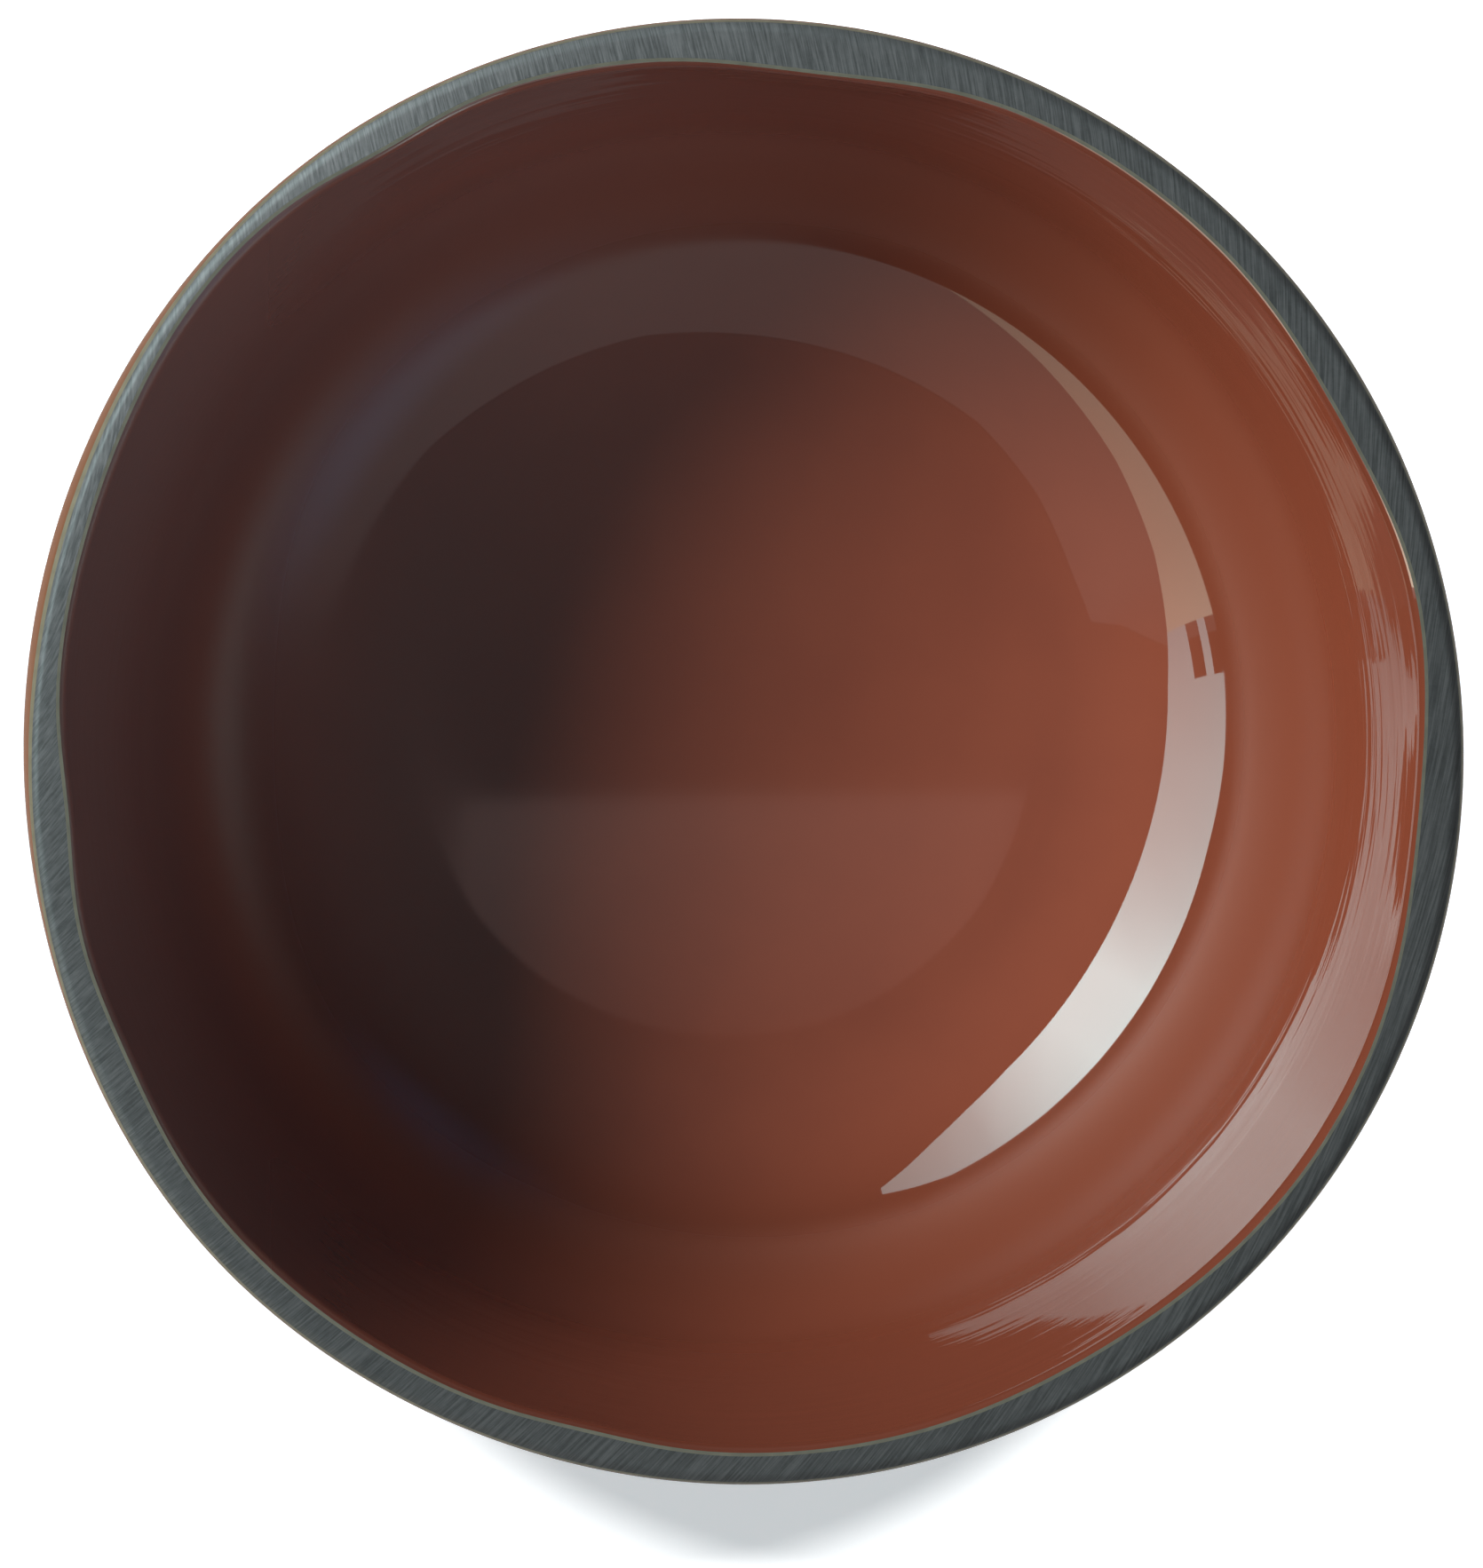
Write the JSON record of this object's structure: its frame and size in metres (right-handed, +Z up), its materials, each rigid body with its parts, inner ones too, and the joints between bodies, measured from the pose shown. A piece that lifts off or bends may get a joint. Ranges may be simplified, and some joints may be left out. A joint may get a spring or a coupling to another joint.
{
  "type": "ceramic bowl",
  "caption": "Round stoneware bowl, glazed glossy brown inside and out, with a flat ground rim of bare dark clay and a bare foot ring; holds a single portion of food.",
  "frame": {"origin": "centre of the foot ring, on the table that the bowl stands on", "axes": "+Z up through the open mouth; +X to the right and +Y to the top of the picture, which looks down into the bowl"},
  "size_m": [0.1486, 0.1514, 0.053],
  "materials": {
    "bare_clay": "satin",
    "brown_glaze": "polished"
  },
  "bodies": {
    "root": {"clay_body": "bare_clay", "inside_glaze": "brown_glaze", "outside_glaze": "brown_glaze", "base_glaze": "brown_glaze"}
  },
  "joints": []
}
